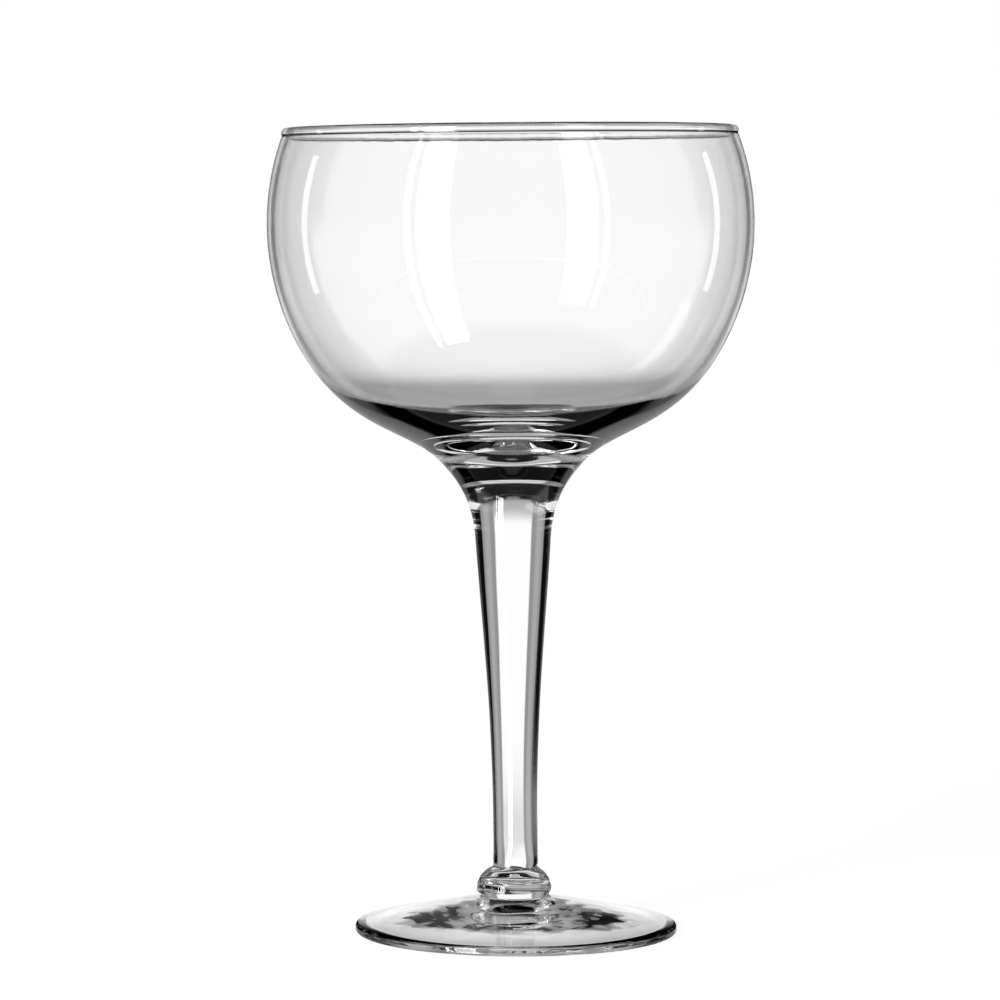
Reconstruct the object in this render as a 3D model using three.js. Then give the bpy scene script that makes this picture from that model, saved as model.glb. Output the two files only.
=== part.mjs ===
// A clear stemmed cocktail glass with a round bowl, in millimetres with +Z up.
// Four pieces of glass, the foot, knop, stem and bowl, are welded face to face while hot.
// The origin is on the table under the middle of the foot.
import * as THREE from 'three';

// Heights of the pieces, stacked from the table upwards
const FOOT_HEIGHT = 8.65;
const KNOP_HEIGHT = 6.6;
const STEM_LENGTH = 93;
const BOWL_HEIGHT = 77.75;

// Foot
const FOOT_DIAMETER = 74.4;
const FOOT_EDGE_THICKNESS = 2.3;
const FOOT_EDGE_ROUND = 0.9;
const FOOT_REST_WIDTH = 2;
const FOOT_HOLLOW_DEPTH = 3.9;
const FOOT_COLLAR_WIDTH = 1.8;
const FOOT_COLLAR_HEIGHT = 0.7;

// Knop, the button between the foot and the stem
const KNOP_DIAMETER = 17.3;
const KNOP_WIDEST_HEIGHT = 1.35;
const KNOP_BASE_DIAMETER = 16;

// Stem
const NECK_DIAMETER = 10.5;
const NECK_LENGTH = 11.75;
const SHOULDER_DIAMETER = 17.4;
const SHOULDER_SLOPE = 3.5;
const FLARE_HEIGHT = 17;
const TAPER_NECK_REACH = 24;
const TAPER_SHOULDER_REACH = 14;
const FLARE_SHOULDER_REACH = 10.4;
const FLARE_WELD_REACH = 2.5;

// Weld ring where the stem meets the bowl, with the outline's lean from upright there
const WELD_DIAMETER = 31.6;
const WELD_SLOPE = 40;

// Bowl
const BELLY_DIAMETER = 111.9;
const BELLY_HEIGHT = 55.5;
const BELLY_ARC_RADIUS = 58.9;
const TURN_IN_ANGLE = 28;
const TURN_IN_REACH = 23.2;
const BOWL_WELD_REACH = 11.8;
const BOWL_WALL = 1.6;
const RIM_BEAD_SWELL = 0.4;
const FLOOR_THICKNESS = 6;
const FLOOR_TURN_ANGLE = 37.2;
const FLOOR_TURN_REACH = 12.2;
const FLOOR_REACH = 13.6;

// Facets of a full turn, and steps along each kind of curve
const TURN_FACETS = 48;
const ARC_STEPS = 9;
const BLEND_STEPS = 10;
const SMALL_STEPS = 4;
const BEAD_STEPS = 8;

const GLASS_COLOUR = 0xf1f4f3;
const GLASS_ROUGHNESS = 0.03;
const GLASS_OPACITY = 0.35;

// Headings in the plane of a profile, in radians
const OUTWARD = 0;
const UP = Math.PI / 2;
const INWARD = Math.PI;
const DOWN = -Math.PI / 2;

function radians(degrees) {
  return THREE.MathUtils.degToRad(degrees);
}

// A profile point is a radius and a height
function at(radius, height) {
  return new THREE.Vector2(radius, height);
}

// The unit step along a heading
function heading(angle) {
  return at(Math.cos(angle), Math.sin(angle));
}

// Points along part of an ellipse, which is a circle when both radii are the same
function arc(centre, radius, height, from, to, steps) {
  const clockwise = to < from;
  return new THREE.EllipseCurve(centre.x, centre.y, radius, height, from, to, clockwise).getPoints(steps);
}

// Points along a curve that leaves one point and reaches the next along given headings
function blend(start, leaving, startReach, end, arriving, endReach, steps) {
  const first = heading(leaving).multiplyScalar(startReach).add(start);
  const second = heading(arriving).multiplyScalar(-endReach).add(end);
  return new THREE.CubicBezierCurve(start, first, second, end).getPoints(steps);
}

// One outline from several stretches, without the repeated points where they meet
function outline(...stretches) {
  const nearly = 1e-6;
  return stretches.flat().filter((point, index, all) => {
    return index === 0 || point.distanceTo(all[index - 1]) > nearly;
  });
}

function clearGlass() {
  return new THREE.MeshStandardMaterial({
    color: GLASS_COLOUR,
    roughness: GLASS_ROUGHNESS,
    metalness: 0,
    transparent: true,
    opacity: GLASS_OPACITY,
  });
}

// A solid of revolution about the upright axis, standing at the given height
function turned(name, profile, height) {
  const geometry = new THREE.LatheGeometry(profile, TURN_FACETS);
  geometry.rotateX(Math.PI / 2);
  const mesh = new THREE.Mesh(geometry, clearGlass());
  mesh.name = name;
  mesh.position.z = height;
  return mesh;
}

// A pressed disc with a low cone on top, a shallow hollow below and a flat ring to stand on
function footProfile() {
  const radius = FOOT_DIAMETER / 2;
  const hollowRadius = radius - FOOT_EDGE_ROUND - FOOT_REST_WIDTH;
  const hollowArc = (hollowRadius ** 2 + FOOT_HOLLOW_DEPTH ** 2) / (2 * FOOT_HOLLOW_DEPTH);
  const hollowAngle = Math.asin(hollowRadius / hollowArc);
  const hollowCentre = at(0, FOOT_HOLLOW_DEPTH - hollowArc);
  const crownRadius = KNOP_BASE_DIAMETER / 2;
  const collar = at(crownRadius + FOOT_COLLAR_WIDTH, FOOT_HEIGHT - FOOT_COLLAR_HEIGHT);
  const lowerRound = at(radius - FOOT_EDGE_ROUND, FOOT_EDGE_ROUND);
  const upperRound = at(radius - FOOT_EDGE_ROUND, FOOT_EDGE_THICKNESS - FOOT_EDGE_ROUND);
  const coneSlope = Math.atan2(collar.y - FOOT_EDGE_THICKNESS, upperRound.x - collar.x);
  return outline(
    arc(hollowCentre, hollowArc, hollowArc, UP, UP - hollowAngle, ARC_STEPS),
    arc(lowerRound, FOOT_EDGE_ROUND, FOOT_EDGE_ROUND, DOWN, OUTWARD, SMALL_STEPS),
    arc(upperRound, FOOT_EDGE_ROUND, FOOT_EDGE_ROUND, OUTWARD, UP - coneSlope, SMALL_STEPS),
    blend(
      collar, INWARD - coneSlope, FOOT_COLLAR_WIDTH / 2,
      at(crownRadius, FOOT_HEIGHT), UP, FOOT_COLLAR_HEIGHT / 2, SMALL_STEPS,
    ),
    [at(0, FOOT_HEIGHT)],
  );
}

// A squashed ball cut off flat where it meets the foot below and the stem above
function knopProfile() {
  const radius = KNOP_DIAMETER / 2;
  const centre = at(0, KNOP_WIDEST_HEIGHT);
  const baseAngle = Math.acos(KNOP_BASE_DIAMETER / KNOP_DIAMETER);
  const topAngle = Math.acos(NECK_DIAMETER / KNOP_DIAMETER);
  const lowerHeight = KNOP_WIDEST_HEIGHT / Math.sin(baseAngle);
  const upperHeight = (KNOP_HEIGHT - KNOP_WIDEST_HEIGHT) / Math.sin(topAngle);
  return outline(
    [at(0, 0)],
    arc(centre, radius, lowerHeight, -baseAngle, OUTWARD, SMALL_STEPS),
    arc(centre, radius, upperHeight, OUTWARD, topAngle, BEAD_STEPS),
    [at(0, KNOP_HEIGHT)],
  );
}

// A solid rod with a straight neck, a slow taper and a flared top
function stemProfile() {
  const foot = at(NECK_DIAMETER / 2, 0);
  const neck = at(NECK_DIAMETER / 2, NECK_LENGTH);
  const shoulder = at(SHOULDER_DIAMETER / 2, STEM_LENGTH - FLARE_HEIGHT);
  const weld = at(WELD_DIAMETER / 2, STEM_LENGTH);
  const lean = UP - radians(SHOULDER_SLOPE);
  const weldLean = UP - radians(WELD_SLOPE);
  return outline(
    [at(0, 0), foot],
    blend(neck, UP, TAPER_NECK_REACH, shoulder, lean, TAPER_SHOULDER_REACH, BLEND_STEPS),
    blend(shoulder, lean, FLARE_SHOULDER_REACH, weld, weldLean, FLARE_WELD_REACH, BLEND_STEPS),
    [at(0, STEM_LENGTH)],
  );
}

// A round vessel whose wall follows one arc past its belly, with a rolled bead at the rim
function bowlProfile() {
  const centre = at(BELLY_DIAMETER / 2 - BELLY_ARC_RADIUS, BELLY_HEIGHT);
  const outer = BELLY_ARC_RADIUS;
  const inner = BELLY_ARC_RADIUS - BOWL_WALL;
  const middle = BELLY_ARC_RADIUS - BOWL_WALL / 2;
  const bead = BOWL_WALL / 2 + RIM_BEAD_SWELL;
  const turnIn = radians(TURN_IN_ANGLE);
  const floorTurn = radians(FLOOR_TURN_ANGLE);
  const rimAngle = Math.asin((BOWL_HEIGHT - bead - BELLY_HEIGHT) / middle);
  const beadCentre = heading(rimAngle).multiplyScalar(middle).add(centre);
  const beadWrap = Math.acos(BOWL_WALL / 2 / bead);
  const beadDrop = bead / middle;
  const onOuter = heading(-turnIn).multiplyScalar(outer).add(centre);
  const onInner = heading(-floorTurn).multiplyScalar(inner).add(centre);
  return outline(
    [at(0, 0)],
    blend(
      at(WELD_DIAMETER / 2, 0), UP - radians(WELD_SLOPE), BOWL_WELD_REACH,
      onOuter, UP - turnIn, TURN_IN_REACH, BLEND_STEPS,
    ),
    arc(centre, outer, outer, -turnIn, rimAngle - beadDrop, ARC_STEPS),
    arc(beadCentre, bead, bead, rimAngle - beadWrap, rimAngle + INWARD + beadWrap, BEAD_STEPS),
    arc(centre, inner, inner, rimAngle - beadDrop, -floorTurn, ARC_STEPS),
    blend(
      onInner, DOWN - floorTurn, FLOOR_TURN_REACH,
      at(0, FLOOR_THICKNESS), INWARD, FLOOR_REACH, BLEND_STEPS,
    ),
  );
}

const glass = new THREE.Group();
glass.add(turned('foot', footProfile(), 0));
glass.add(turned('knop', knopProfile(), FOOT_HEIGHT));
glass.add(turned('stem', stemProfile(), FOOT_HEIGHT + KNOP_HEIGHT));
glass.add(turned('bowl', bowlProfile(), FOOT_HEIGHT + KNOP_HEIGHT + STEM_LENGTH));

export default glass;
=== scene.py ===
import bisect
import math
from collections import namedtuple

import bmesh
import bpy
from mathutils import Matrix, Vector, noise


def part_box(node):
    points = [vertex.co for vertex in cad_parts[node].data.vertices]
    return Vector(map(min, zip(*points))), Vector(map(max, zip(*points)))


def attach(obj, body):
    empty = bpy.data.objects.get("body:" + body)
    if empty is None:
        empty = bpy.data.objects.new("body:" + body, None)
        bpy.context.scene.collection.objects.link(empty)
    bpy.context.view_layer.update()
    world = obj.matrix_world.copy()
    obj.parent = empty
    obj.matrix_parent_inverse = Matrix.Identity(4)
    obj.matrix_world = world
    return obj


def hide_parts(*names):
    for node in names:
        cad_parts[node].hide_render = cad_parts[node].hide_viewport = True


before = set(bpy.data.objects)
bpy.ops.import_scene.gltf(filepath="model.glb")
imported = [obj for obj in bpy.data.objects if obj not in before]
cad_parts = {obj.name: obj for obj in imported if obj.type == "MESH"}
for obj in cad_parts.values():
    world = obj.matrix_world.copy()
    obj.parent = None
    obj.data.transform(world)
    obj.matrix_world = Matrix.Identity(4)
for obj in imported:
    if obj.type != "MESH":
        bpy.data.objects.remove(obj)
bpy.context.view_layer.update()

MM = 0.001


def node_height(node):
    low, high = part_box(node)
    return low.z / MM, high.z / MM


# Sizes in millimetres and angles, as the solids have them
FOOT_TOP = node_height("foot")[1]
KNOP_Z, KNOP_TOP = node_height("knop")
STEM_Z, STEM_TOP = node_height("stem")
BOWL_Z = STEM_TOP
RIM_Z = 186.0

FOOT_RADIUS = 37.2
FOOT_EDGE_THICKNESS = 2.3
FOOT_EDGE_ROUND = 0.9
FOOT_REST_WIDTH = 2.0
FOOT_HOLLOW_DEPTH = 3.9
FOOT_COLLAR_WIDTH = 1.8
FOOT_COLLAR_HEIGHT = 0.7
KNOP_RADIUS = 8.65
KNOP_WIDEST = 1.35
KNOP_BASE_RADIUS = 8.0
NECK_RADIUS = 5.25
NECK_LENGTH = 11.75
SHOULDER_RADIUS = 8.7
SHOULDER_SLOPE = math.radians(3.5)
FLARE_HEIGHT = 17.0
TAPER_NECK_REACH = 24.0
TAPER_SHOULDER_REACH = 14.0
FLARE_SHOULDER_REACH = 10.4
FLARE_WELD_REACH = 2.5
WELD_RADIUS = 15.8
WELD_SLOPE = math.radians(40)
BELLY_RADIUS = 55.95
BELLY_HEIGHT = 55.5
BELLY_ARC = 58.9
TURN_IN = math.radians(28)
TURN_IN_REACH = 23.2
BOWL_WELD_REACH = 11.8
BOWL_WALL = 1.6
BEAD_SWELL = 0.4
FLOOR_THICKNESS = 6.0
FLOOR_TURN = math.radians(37.2)
FLOOR_TURN_REACH = 12.2
FLOOR_REACH = 13.6

# Flow of the glass where the wall turns into the floor: how far it spreads, how far from the turn it is felt,
# and the steps on each side that it is averaged in
FLOOR_FLOW = 9.0
FLOW_SPAN = 13.0
FLOW_STEPS = 10

# Steps of a full turn, and along each stretch of a profile
TURN_STEPS = 192
HOLLOW_STEPS = 48
REST_STEPS = 4
EDGE_STEPS = 10
EDGE_FLAT_STEPS = 2
CONE_STEPS = 40
COLLAR_STEPS = 10
KNOP_LOWER_STEPS = 10
KNOP_UPPER_STEPS = 24
NECK_STEPS = 16
TAPER_STEPS = 70
FLARE_STEPS = 40
BOWL_STEPS = 50
BEAD_STEPS = 24
UPPER_INSIDE_STEPS = 30
FLOOR_STEPS = 60
NARROW_WELD_STEPS = 6
BOWL_WELD_STEPS = 10

OUTWARD, UP, INWARD, DOWN = 0.0, math.pi / 2, math.pi, -math.pi / 2


def at(radius, height):
    """A point of a profile."""
    return Vector((radius, height))


def heading(angle):
    """The direction at an angle up from outward."""
    return Vector((math.cos(angle), math.sin(angle)))


def arc(centre, radius, height, start, end, steps):
    """Points round part of an ellipse."""
    angles = [start + (end - start) * i / steps for i in range(steps + 1)]
    return [centre + at(radius * math.cos(a), height * math.sin(a)) for a in angles]


def blend(start, leaving, start_reach, end, arriving, end_reach, steps):
    """Points along a cubic curve that leaves and arrives at given angles."""
    first = start + heading(leaving) * start_reach
    second = end - heading(arriving) * end_reach
    points = []
    for i in range(steps + 1):
        t = i / steps
        s = 1 - t
        points.append(start * s**3 + first * 3 * s * s * t + second * 3 * s * t * t + end * t**3)
    return points


def line(start, end, steps):
    return [start.lerp(end, i / steps) for i in range(steps + 1)]


def drawn_out(points, corner, reach):
    """The same line, with the change of bend at one of its points spread out as the glass has flowed."""
    far = [0.0]
    for before, after in zip(points, points[1:]):
        far.append(far[-1] + (after - before).length)

    def place(distance):
        step = max(bisect.bisect_left(far, distance), 1)
        share = (distance - far[step - 1]) / (far[step] - far[step - 1])
        return points[step - 1].lerp(points[step], share)

    spread = []
    for distance in far:
        width = reach * math.exp(-(((distance - far[corner]) / FLOW_SPAN) ** 2))
        total = at(0, 0)
        for step in range(1 - FLOW_STEPS, FLOW_STEPS):
            near = min(max(distance + width * step / FLOW_STEPS, 0), far[-1])
            total += place(near) * (FLOW_STEPS - abs(step))
        spread.append(total / FLOW_STEPS**2)
    return spread[:-1] + points[-1:]


# Each profile is a list of stretches: its points, and what kind of face they make
WALL, INSIDE, WELD = "wall", "inside", "weld"


def foot_profile():
    hollow = FOOT_RADIUS - FOOT_EDGE_ROUND - FOOT_REST_WIDTH
    bend = (hollow**2 + FOOT_HOLLOW_DEPTH**2) / (2 * FOOT_HOLLOW_DEPTH)
    spread = math.asin(hollow / bend)
    collar = at(KNOP_BASE_RADIUS + FOOT_COLLAR_WIDTH, FOOT_TOP - FOOT_COLLAR_HEIGHT)
    low = at(FOOT_RADIUS - FOOT_EDGE_ROUND, FOOT_EDGE_ROUND)
    high = at(FOOT_RADIUS - FOOT_EDGE_ROUND, FOOT_EDGE_THICKNESS - FOOT_EDGE_ROUND)
    slope = math.atan2(collar.y - FOOT_EDGE_THICKNESS, high.x - collar.x)
    crown = at(KNOP_BASE_RADIUS, FOOT_TOP)
    wall = arc(at(0, FOOT_HOLLOW_DEPTH - bend), bend, bend, UP, UP - spread, HOLLOW_STEPS)
    wall += line(at(hollow, 0), at(low.x, 0), REST_STEPS)[1:]
    wall += arc(low, FOOT_EDGE_ROUND, FOOT_EDGE_ROUND, DOWN, OUTWARD, EDGE_STEPS)[1:]
    upper = arc(high, FOOT_EDGE_ROUND, FOOT_EDGE_ROUND, OUTWARD, UP - slope, EDGE_STEPS)
    wall += line(wall[-1], upper[0], EDGE_FLAT_STEPS)[1:] + upper[1:]
    wall += line(upper[-1], collar, CONE_STEPS)[1:]
    wall += blend(
        collar, INWARD - slope, FOOT_COLLAR_WIDTH / 2,
        crown, UP, FOOT_COLLAR_HEIGHT / 2, COLLAR_STEPS,
    )[1:]
    return [(wall, WALL), (line(crown, at(0, FOOT_TOP), NARROW_WELD_STEPS), WELD)]


def knop_profile():
    base = math.acos(KNOP_BASE_RADIUS / KNOP_RADIUS)
    top = math.acos(NECK_RADIUS / KNOP_RADIUS)
    centre = at(0, KNOP_Z + KNOP_WIDEST)
    lower = KNOP_WIDEST / math.sin(base)
    upper = (KNOP_TOP - KNOP_Z - KNOP_WIDEST) / math.sin(top)
    wall = arc(centre, KNOP_RADIUS, lower, -base, OUTWARD, KNOP_LOWER_STEPS)
    wall += arc(centre, KNOP_RADIUS, upper, OUTWARD, top, KNOP_UPPER_STEPS)[1:]
    return [
        (line(at(0, KNOP_Z), wall[0], NARROW_WELD_STEPS), WELD),
        (wall, WALL),
        (line(wall[-1], at(0, KNOP_TOP), NARROW_WELD_STEPS), WELD),
    ]


def stem_profile():
    neck = at(NECK_RADIUS, STEM_Z + NECK_LENGTH)
    shoulder = at(SHOULDER_RADIUS, STEM_TOP - FLARE_HEIGHT)
    weld = at(WELD_RADIUS, STEM_TOP)
    lean = UP - SHOULDER_SLOPE
    weld_lean = UP - WELD_SLOPE
    wall = line(at(NECK_RADIUS, STEM_Z), neck, NECK_STEPS)
    wall += blend(neck, UP, TAPER_NECK_REACH, shoulder, lean, TAPER_SHOULDER_REACH, TAPER_STEPS)[1:]
    wall += blend(shoulder, lean, FLARE_SHOULDER_REACH, weld, weld_lean, FLARE_WELD_REACH, FLARE_STEPS)[1:]
    return [
        (line(at(0, STEM_Z), wall[0], NARROW_WELD_STEPS), WELD),
        (wall, WALL),
        (line(weld, at(0, STEM_TOP), BOWL_WELD_STEPS), WELD),
    ]


def bowl_profile():
    centre = at(BELLY_RADIUS - BELLY_ARC, BOWL_Z + BELLY_HEIGHT)
    inner = BELLY_ARC - BOWL_WALL
    middle = BELLY_ARC - BOWL_WALL / 2
    bead = BOWL_WALL / 2 + BEAD_SWELL
    rim = math.asin((RIM_Z - BOWL_Z - bead - BELLY_HEIGHT) / middle)
    wrap = math.acos(BOWL_WALL / 2 / bead)
    drop = bead / middle
    weld = at(WELD_RADIUS, BOWL_Z)
    on_outer = centre + heading(-TURN_IN) * BELLY_ARC
    on_inner = centre + heading(-FLOOR_TURN) * inner
    floor = at(0, BOWL_Z + FLOOR_THICKNESS)
    wall = blend(weld, UP - WELD_SLOPE, BOWL_WELD_REACH, on_outer, UP - TURN_IN, TURN_IN_REACH, BOWL_STEPS)
    wall += arc(centre, BELLY_ARC, BELLY_ARC, -TURN_IN, rim - drop, BOWL_STEPS)[1:]
    wall += arc(centre + heading(rim) * middle, bead, bead, rim - wrap, rim + INWARD + wrap, BEAD_STEPS)
    inside = [wall[-1]] + arc(centre, inner, inner, rim - drop, OUTWARD, UPPER_INSIDE_STEPS)
    lower = arc(centre, inner, inner, OUTWARD, -FLOOR_TURN, BOWL_STEPS)
    lower += blend(
        on_inner, DOWN - FLOOR_TURN, FLOOR_TURN_REACH,
        floor, INWARD, FLOOR_REACH, FLOOR_STEPS,
    )[1:]
    inside += drawn_out(lower, BOWL_STEPS, FLOOR_FLOW)[1:]
    return [(line(at(0, BOWL_Z), weld, BOWL_WELD_STEPS), WELD), (wall, WALL), (inside, INSIDE)]


# What hand work leaves in the glass. Lengths are in millimetres, and the oval is a share of the radius.
# A fade is where an effect starts and where it is full
STEM_WAVE = 0.05
STEM_WAVE_ACROSS, STEM_WAVE_ALONG, STEM_SEED = 5, 16, 3
STEM_WAVE_FOOT_FADE = 0, 4
STEM_WAVE_TOP_FADE = -12, -30
STEM_OVAL = 0.07
STEM_OVAL_TURN = math.radians(-57)
STEM_OVAL_FOOT_FADE = 0, 6
STEM_OVAL_TOP_FADE = 75, 20
KNOP_SHIFT = -0.4
KNOP_FOOT_FADE = -0.6, 0.6
KNOP_TOP_FADE = 0.8, -0.8
KNOP_RING_DEPTH = 0.035
KNOP_RING_PITCH = 1.75
KNOP_RING_SLANT = 0.05
KNOP_RING_WANDER = 0.5
KNOP_RING_ACROSS, KNOP_RING_ALONG, KNOP_SEED = 9, 4, 11
FOOT_SEAM_DEPTH = 0.25
KNOP_SEAM_DEPTH = 0.14
BOWL_SEAM_DEPTH = 0.03
SEAM_WIDTH = 0.9
SEAM_WANDER = 0.5
SEAM_ACROSS, SEAM_ALONG, SEAM_SEED = 6, 30, 23
SEAM_CORE_FADE = 1, 4
FOOT_TILT = math.radians(0.65)
FOOT_TOP_FADE = 0.3, -0.6
FOOT_CROWN_FADE = 7, 10
FOOT_RIPPLE = 0.05
FOOT_RIPPLE_ACROSS, FOOT_RIPPLE_ALONG, FOOT_SEED = 4.5, 2, 31
FOOT_RIPPLE_FADE = 34, 22
FOOT_SWIRL = 0.09
FOOT_SWIRL_PITCH = 2.2
FOOT_SWIRL_ROUND = 1.6
FOOT_SWIRL_FADE = 17, 11
FLOOR_DIMPLE_RADIUS = 9.0
FLOOR_DIMPLE_DEPTH = 0.65
FLOOR_MARK_DEPTH = 0.03
FLOOR_MARK_SIZE, FLOOR_SEED = 3, 47


def ease(value, start, end):
    t = min(max((value - start) / (end - start), 0), 1)
    return t * t * (3 - 2 * t)


def fade(value, base, span):
    """From 0 to 1 across a span that is measured from a base."""
    return ease(value, base + span[0], base + span[1])


def ripple(place, across, along, seed):
    """Smooth noise about zero, with its own size across and along the axis."""
    return noise.noise(Vector((place.x / across + seed, place.y / across, place.z / along)))


def stem_wave(place):
    """A slow wave along the stem, outward."""
    here = fade(place.z, STEM_Z, STEM_WAVE_FOOT_FADE) * fade(place.z, STEM_TOP, STEM_WAVE_TOP_FADE)
    return STEM_WAVE * here * ripple(place, STEM_WAVE_ACROSS, STEM_WAVE_ALONG, STEM_SEED)


def neck_oval(place, radius, turn):
    """The neck isn't quite round: its outward move."""
    here = fade(place.z, STEM_Z, STEM_OVAL_FOOT_FADE) * fade(place.z, STEM_Z, STEM_OVAL_TOP_FADE)
    return radius * here * STEM_OVAL * math.cos(2 * (turn - STEM_OVAL_TURN))


def knop_share(place):
    """1 on the knop and 0 away from it."""
    return fade(place.z, KNOP_Z, KNOP_FOOT_FADE) * fade(place.z, KNOP_TOP, KNOP_TOP_FADE)


def knop_rings(place):
    """Rings left on the knop by the tool that turned it, outward."""
    wander = KNOP_RING_WANDER * ripple(place, KNOP_RING_ACROSS, KNOP_RING_ALONG, KNOP_SEED)
    phase = (place.z + KNOP_RING_SLANT * place.x) / KNOP_RING_PITCH + wander
    return KNOP_RING_DEPTH * knop_share(place) * math.sin(2 * math.pi * phase)


def seam_grooves(place, radius):
    """Grooves where the pieces were joined, inward."""
    wander = SEAM_WANDER * ripple(place, SEAM_ACROSS, SEAM_ALONG, SEAM_SEED)
    depth = 0.0
    seams = ((KNOP_Z, FOOT_SEAM_DEPTH), (KNOP_TOP, KNOP_SEAM_DEPTH), (STEM_TOP, BOWL_SEAM_DEPTH))
    for height, deepest in seams:
        depth += deepest * math.exp(-(((place.z - height + wander) / SEAM_WIDTH) ** 2))
    return depth * fade(radius, 0, SEAM_CORE_FADE)


def foot_ripples(place, radius, side):
    """Ripples that die away towards the foot's edge and a swirl round the knop, upward."""
    foot = fade(place.z, KNOP_Z, FOOT_TOP_FADE) * fade(radius, 0, FOOT_CROWN_FADE)
    waves = FOOT_RIPPLE * ripple(place, FOOT_RIPPLE_ACROSS, FOOT_RIPPLE_ALONG, FOOT_SEED)
    wound = Vector((FOOT_SWIRL_ROUND * side.x, FOOT_SWIRL_ROUND * side.y, radius / FOOT_SWIRL_PITCH))
    swirl = FOOT_SWIRL * noise.noise(wound)
    return foot * (waves * fade(radius, 0, FOOT_RIPPLE_FADE) + swirl * fade(radius, 0, FOOT_SWIRL_FADE))


def foot_tilt(place):
    """The foot leans a little under the stem: its upward move."""
    return -place.x * math.tan(FOOT_TILT * ease(place.z, KNOP_TOP, KNOP_Z))


def floor_dimple(place, radius):
    """A shallow, slightly wrinkled dimple in the bowl's floor over the stem, upward."""
    if radius >= FLOOR_DIMPLE_RADIUS:
        return 0.0
    dimple = 0.5 + 0.5 * math.cos(math.pi * radius / FLOOR_DIMPLE_RADIUS)
    wrinkle = ripple(place, FLOOR_MARK_SIZE, FLOOR_MARK_SIZE, FLOOR_SEED)
    return dimple * (FLOOR_MARK_DEPTH * wrinkle - FLOOR_DIMPLE_DEPTH)


def hand_made(place, kind):
    """Where a point of the exact shape lies on the real glass."""
    radius = math.hypot(place.x, place.y)
    turn = math.atan2(place.y, place.x)
    side = Vector((math.cos(turn), math.sin(turn), 0))
    outward = stem_wave(place) + neck_oval(place, radius, turn)
    outward += knop_rings(place) - seam_grooves(place, radius)
    out = place + side * outward
    out.x += KNOP_SHIFT * knop_share(place)
    out.z += foot_ripples(place, radius, side) + foot_tilt(place)
    if kind == INSIDE:
        out.z += floor_dimple(place, radius)
    return out


ON_AXIS = 1e-9


def turned(name, profile, glass, weld, node):
    """A solid of revolution from its profile, closed at the axis, with its hand-made shape."""
    mesh = bmesh.new()
    rings = []
    for points, kind in profile:
        for point in points[1:] if rings else points:
            rings.append((point, kind))
    corners = []
    for point, kind in rings:
        turns = [2 * math.pi * step / TURN_STEPS for step in range(TURN_STEPS)]
        if point.x < ON_AXIS:
            turns = [0.0]
        ring = []
        for turn in turns:
            exact = Vector((point.x * math.cos(turn), point.x * math.sin(turn), point.y))
            ring.append(mesh.verts.new(hand_made(exact, kind) * MM))
        corners.append(ring)
    for here in range(len(rings) - 1):
        low, high = corners[here], corners[here + 1]
        for step in range(TURN_STEPS):
            after = (step + 1) % TURN_STEPS
            spots = ((low, step), (low, after), (high, after), (high, step))
            loop = [ring[spot % len(ring)] for ring, spot in spots]
            face = mesh.faces.new(list(dict.fromkeys(loop)))
            face.smooth = True
            face.material_index = 1 if rings[here + 1][1] == WELD else 0
    bmesh.ops.recalc_face_normals(mesh, faces=mesh.faces)
    for edge in mesh.edges:
        kinds = {face.material_index for face in edge.link_faces}
        edge.smooth = len(kinds) == 1
    data = bpy.data.meshes.new(name)
    mesh.to_mesh(data)
    mesh.free()
    data.materials.append(glass)
    data.materials.append(weld)
    piece = bpy.data.objects.new(name, data)
    bpy.context.scene.collection.objects.link(piece)
    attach(piece, "root")
    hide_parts(node)


# Where a Mix node has its plain values and its colours
VALUE_A, VALUE_B, COLOUR_A, COLOUR_B = 2, 3, 6, 7
VALUE_OUT, COLOUR_OUT = 0, 2


class Nodes:
    """Small helpers that wire shader math."""

    def __init__(self, tree):
        self.tree = tree

    def new(self, kind):
        return self.tree.nodes.new(kind)

    def feed(self, socket, value):
        if isinstance(value, bpy.types.NodeSocket):
            self.tree.links.new(value, socket)
        else:
            socket.default_value = value

    def math(self, operation, *values):
        node = self.new("ShaderNodeMath")
        node.operation = operation
        for socket, value in zip(node.inputs, values):
            self.feed(socket, value)
        return node.outputs[0]

    def mix(self, factor, first, second):
        node = self.new("ShaderNodeMix")
        self.feed(node.inputs[0], factor)
        self.feed(node.inputs[VALUE_A], first)
        self.feed(node.inputs[VALUE_B], second)
        return node.outputs[VALUE_OUT]

    def noise(self, place, scale, detail):
        node = self.new("ShaderNodeTexNoise")
        self.feed(node.inputs["Vector"], place)
        node.inputs["Scale"].default_value = scale
        node.inputs["Detail"].default_value = detail
        return node.outputs[0]

    def step(self, value, start, end):
        node = self.new("ShaderNodeMapRange")
        node.interpolation_type = "SMOOTHSTEP"
        self.feed(node.inputs["Value"], value)
        node.inputs["From Min"].default_value = start
        node.inputs["From Max"].default_value = end
        return node.outputs["Result"]


# Glass: refraction, and the scale and detail of the noise behind its streaks, polish and waves
GLASS_IOR = 1.52
STREAK_NOISE = 40, 3
STREAK_TINT = 0.988, 0.992, 0.99, 1
CLEAR_TINT = 1.0, 1.0, 1.0, 1
POLISH_NOISE = 90, 4
POLISH_FROM = 0.4, 0.75
POLISH_ROUGHNESS = 0.0, 0.02
WAVE_NOISE = 170, 2
WAVE_STRENGTH = 0.25
WAVE_HEIGHT = 0.00004

# Turns after which light is lost, in the upper pieces and in the foot
GLASS_TURNS = 7
FOOT_TURNS = 14
# The most turns, and the most weld faces, that a ray of light is followed through
MOST_TURNS = 24
MOST_WELDS = 32


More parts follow.
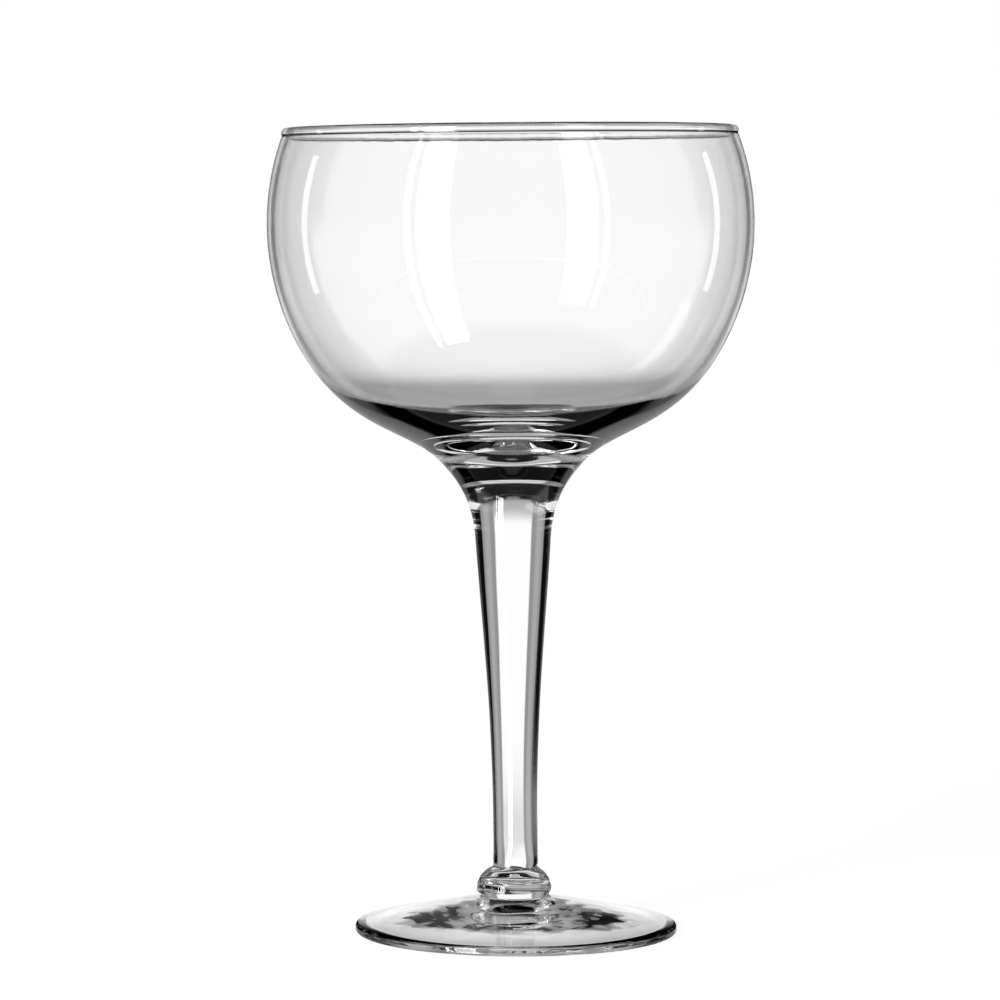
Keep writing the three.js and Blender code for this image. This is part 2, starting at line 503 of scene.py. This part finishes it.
def clear_glass(name, turns):
    """Colourless glass: faint grey streaks in the melt, a fire-polished skin and a slight waviness.

    Light is lost in the glass after the given number of turns.
    """
    material = bpy.data.materials.new(name)
    material.use_nodes = True
    kit = Nodes(material.node_tree)
    shader = material.node_tree.nodes["Principled BSDF"]
    shader.inputs["Transmission Weight"].default_value = 1.0
    shader.inputs["IOR"].default_value = GLASS_IOR
    place = kit.new("ShaderNodeTexCoord").outputs["Object"]
    tint = kit.new("ShaderNodeMix")
    tint.data_type = "RGBA"
    kit.feed(tint.inputs[0], kit.noise(place, *STREAK_NOISE))
    kit.feed(tint.inputs[COLOUR_A], STREAK_TINT)
    kit.feed(tint.inputs[COLOUR_B], CLEAR_TINT)
    kit.feed(shader.inputs["Base Color"], tint.outputs[COLOUR_OUT])
    polish = kit.new("ShaderNodeMapRange")
    kit.feed(polish.inputs["Value"], kit.noise(place, *POLISH_NOISE))
    polish.inputs["From Min"].default_value, polish.inputs["From Max"].default_value = POLISH_FROM
    polish.inputs["To Min"].default_value, polish.inputs["To Max"].default_value = POLISH_ROUGHNESS
    kit.feed(shader.inputs["Roughness"], polish.outputs["Result"])
    waves = kit.new("ShaderNodeBump")
    waves.inputs["Strength"].default_value = WAVE_STRENGTH
    waves.inputs["Distance"].default_value = WAVE_HEIGHT
    kit.feed(waves.inputs["Height"], kit.noise(place, *WAVE_NOISE))
    kit.feed(shader.inputs["Normal"], waves.outputs["Normal"])
    lost = kit.new("ShaderNodeBsdfDiffuse")
    lost.inputs["Color"].default_value = (0, 0, 0, 1)
    depth = kit.new("ShaderNodeLightPath").outputs["Ray Depth"]
    fate = kit.new("ShaderNodeMixShader")
    kit.feed(fate.inputs[0], kit.math("GREATER_THAN", depth, turns - 0.5))
    kit.feed(fate.inputs[1], shader.outputs[0])
    kit.feed(fate.inputs[2], lost.outputs[0])
    kit.feed(material.node_tree.nodes["Material Output"].inputs["Surface"], fate.outputs[0])
    return material


def weld_faces():
    """Faces inside the glass where two pieces have flowed together: nothing shows there."""
    material = bpy.data.materials.new("weld_faces")
    material.use_nodes = True
    tree = material.node_tree
    tree.nodes.clear()
    shader = tree.nodes.new("ShaderNodeBsdfTransparent")
    output = tree.nodes.new("ShaderNodeOutputMaterial")
    tree.links.new(shader.outputs[0], output.inputs["Surface"])
    return material


# The studio round the glass, by bearing from +Y and elevation in degrees. Each panel covers those before it
PANEL_FIELDS = "bearing half side_soft low low_soft high high_soft strength"
Panel = namedtuple("Panel", PANEL_FIELDS)
ALL_ROUND = 200
STUDIO_DARK = 0.004
PANELS = [
    # Pale table all round, below the level of the bowl, darker close to the foot
    Panel(0, ALL_ROUND, 1, -82, 4, -46, 6, 0.12),
    Panel(0, ALL_ROUND, 1, -52, 10, 6, 12, 0.95),
    Panel(0, ALL_ROUND, 1, -100, 1, -80, 4, 0.5),
    # Dark room behind the glass
    Panel(0, 72, 6, -50, 3, 60, 10, STUDIO_DARK),
    # White sweep behind the glass between two grey wings, both brightest at the glass's own height
    Panel(0, 43, 2.5, -37, 8, 45, 26, 0.27),
    Panel(-32, 5, 5, -37, 8, 42, 26, 0.38),
    Panel(32, 5, 5, -37, 8, 42, 26, 0.38),
    Panel(0, 20, 2.5, -37, 4, 42, 14, 0.46),
    Panel(0, 20, 2.5, -12, 9, 20, 14, 1.04),
]
# Tall soft box in front on the left and a narrow strip beside it, dimmer to light that leaves the glass
KEYS = [
    Panel(-143.2, 8, 0.7, -52, 1, 39, 12, 14.0),
    Panel(-130.1, 1.2, 0.7, -52, 1, 39, 12, 14.0),
]
KEY_INSIDE = 0.25
# Black flags that only reflections meet, so that the outline of the glass stays dark
FLAGS = [
    Panel(-26, 20, 4, -9, 6, 60, 10, STUDIO_DARK),
    Panel(26, 20, 4, -9, 6, 60, 10, STUDIO_DARK),
]
BACKGROUND = 1.0


def studio_world():
    world = bpy.data.worlds.new("studio")
    world.use_nodes = True
    tree = world.node_tree
    tree.nodes.clear()
    kit = Nodes(tree)
    parts = kit.new("ShaderNodeSeparateXYZ")
    kit.feed(parts.inputs[0], kit.new("ShaderNodeTexCoord").outputs["Generated"])
    x, y, z = parts.outputs
    bearing = kit.math("MULTIPLY", kit.math("ARCTAN2", x, y), 180 / math.pi)
    height = kit.math("MULTIPLY", kit.math("ARCSINE", z), 180 / math.pi)

    def cover(panel):
        off = kit.math("SUBTRACT", bearing, panel.bearing)
        off = kit.math("ABSOLUTE", kit.math("WRAP", off, 180, -180))
        inside = kit.step(off, panel.half + panel.side_soft / 2, panel.half - panel.side_soft / 2)
        over = kit.step(height, panel.low, panel.low + panel.low_soft)
        under = kit.step(height, panel.high, panel.high - panel.high_soft)
        return kit.math("MULTIPLY", kit.math("MULTIPLY", inside, under), over)

    path = kit.new("ShaderNodeLightPath")
    light = STUDIO_DARK
    for panel in PANELS:
        light = kit.mix(cover(panel), light, panel.strength)
    for key in KEYS:
        power = kit.mix(path.outputs["Is Transmission Ray"], key.strength, key.strength * KEY_INSIDE)
        light = kit.mix(cover(key), light, power)
    for flag in FLAGS:
        shade = kit.math("MULTIPLY", cover(flag), path.outputs["Is Reflection Ray"])
        light = kit.mix(shade, light, flag.strength)
    seen = kit.mix(path.outputs["Is Camera Ray"], light, BACKGROUND)
    sky = kit.new("ShaderNodeBackground")
    sky.inputs["Color"].default_value = (1, 1, 1, 1)
    kit.feed(sky.inputs["Strength"], seen)
    output = kit.new("ShaderNodeOutputWorld")
    tree.links.new(sky.outputs[0], output.inputs["Surface"])
    bpy.context.scene.world = world


# Strip lights beside the bowl: place from the axis and size, in metres
STRIP_BEARING = math.radians(83)
STRIP_DISTANCE = 0.17
STRIP_HEIGHT = 0.164
STRIP_SIZE = (0.013, 0.116)
STRIP_POWER = 0.014


def strip_lights():
    for side in (-1, 1):
        data = bpy.data.lights.new("strip", "AREA")
        data.shape = "RECTANGLE"
        data.size, data.size_y = STRIP_SIZE
        data.energy = STRIP_POWER
        strip = bpy.data.objects.new("strip", data)
        bpy.context.scene.collection.objects.link(strip)
        turn = side * STRIP_BEARING
        strip.location = (STRIP_DISTANCE * math.sin(turn), STRIP_DISTANCE * math.cos(turn), STRIP_HEIGHT)
        strip.rotation_euler = (math.radians(90), 0, math.pi - turn)
        strip.visible_transmission = False


# Floor: half its width and its place under the foot in metres, its glow to the camera and its paint
FLOOR_HALF = 6.0
FLOOR_DROP = 0.0005
FLOOR_GLOW = 0.94
FLOOR_PAINT = 0.3, 0.3, 0.3, 1


def studio_floor():
    mesh = bpy.data.meshes.new("floor")
    corners = [(-1, -1), (1, -1), (1, 1), (-1, 1)]
    mesh.from_pydata([(x * FLOOR_HALF, y * FLOOR_HALF, -FLOOR_DROP) for x, y in corners], [], [(0, 1, 2, 3)])
    floor = bpy.data.objects.new("floor", mesh)
    bpy.context.scene.collection.objects.link(floor)
    floor.visible_glossy = False
    floor.visible_transmission = False
    material = bpy.data.materials.new("floor")
    material.use_nodes = True
    tree = material.node_tree
    tree.nodes.clear()
    kit = Nodes(tree)
    path = kit.new("ShaderNodeLightPath")
    light = kit.new("ShaderNodeEmission")
    kit.feed(light.inputs["Strength"], kit.math("MULTIPLY", path.outputs["Is Camera Ray"], FLOOR_GLOW))
    paint = kit.new("ShaderNodeBsdfDiffuse")
    paint.inputs["Color"].default_value = FLOOR_PAINT
    both = kit.new("ShaderNodeAddShader")
    tree.links.new(light.outputs[0], both.inputs[0])
    tree.links.new(paint.outputs[0], both.inputs[1])
    output = kit.new("ShaderNodeOutputMaterial")
    tree.links.new(both.outputs[0], output.inputs["Surface"])
    mesh.materials.append(material)


# Camera of the photograph, in metres and degrees, with the lens and sensor in millimetres
CAMERA_PLACE = (-0.00294, -1.054, 0.1663)
CAMERA_PITCH = 3.59
CAMERA_ROLL = 0.45
CAMERA_LENS = 164.97
CAMERA_SENSOR = 36
CAMERA_NEAR = 0.01


def photo_camera():
    data = bpy.data.cameras.new("camera")
    data.lens = CAMERA_LENS
    data.sensor_width = CAMERA_SENSOR
    data.clip_start = CAMERA_NEAR
    camera = bpy.data.objects.new("camera", data)
    bpy.context.scene.collection.objects.link(camera)
    pitch = Matrix.Rotation(math.radians(90 - CAMERA_PITCH), 4, "X")
    roll = Matrix.Rotation(math.radians(-CAMERA_ROLL), 4, "Z")
    camera.matrix_world = Matrix.Translation(CAMERA_PLACE) @ pitch @ roll
    bpy.context.scene.camera = camera


photo_camera()
glass = clear_glass("clear_glass", GLASS_TURNS)
foot_glass = clear_glass("clear_foot_glass", FOOT_TURNS)
weld = weld_faces()
turned("bowl_glass", bowl_profile(), glass, weld, "bowl")
turned("stem_glass", stem_profile(), glass, weld, "stem")
turned("knop_glass", knop_profile(), glass, weld, "knop")
turned("foot_glass", foot_profile(), foot_glass, weld, "foot")
studio_world()
strip_lights()
studio_floor()
bpy.context.scene.view_settings.view_transform = "Standard"
bpy.context.scene.cycles.max_bounces = MOST_TURNS
bpy.context.scene.cycles.transmission_bounces = MOST_TURNS
bpy.context.scene.cycles.glossy_bounces = MOST_TURNS
bpy.context.scene.cycles.transparent_max_bounces = MOST_WELDS
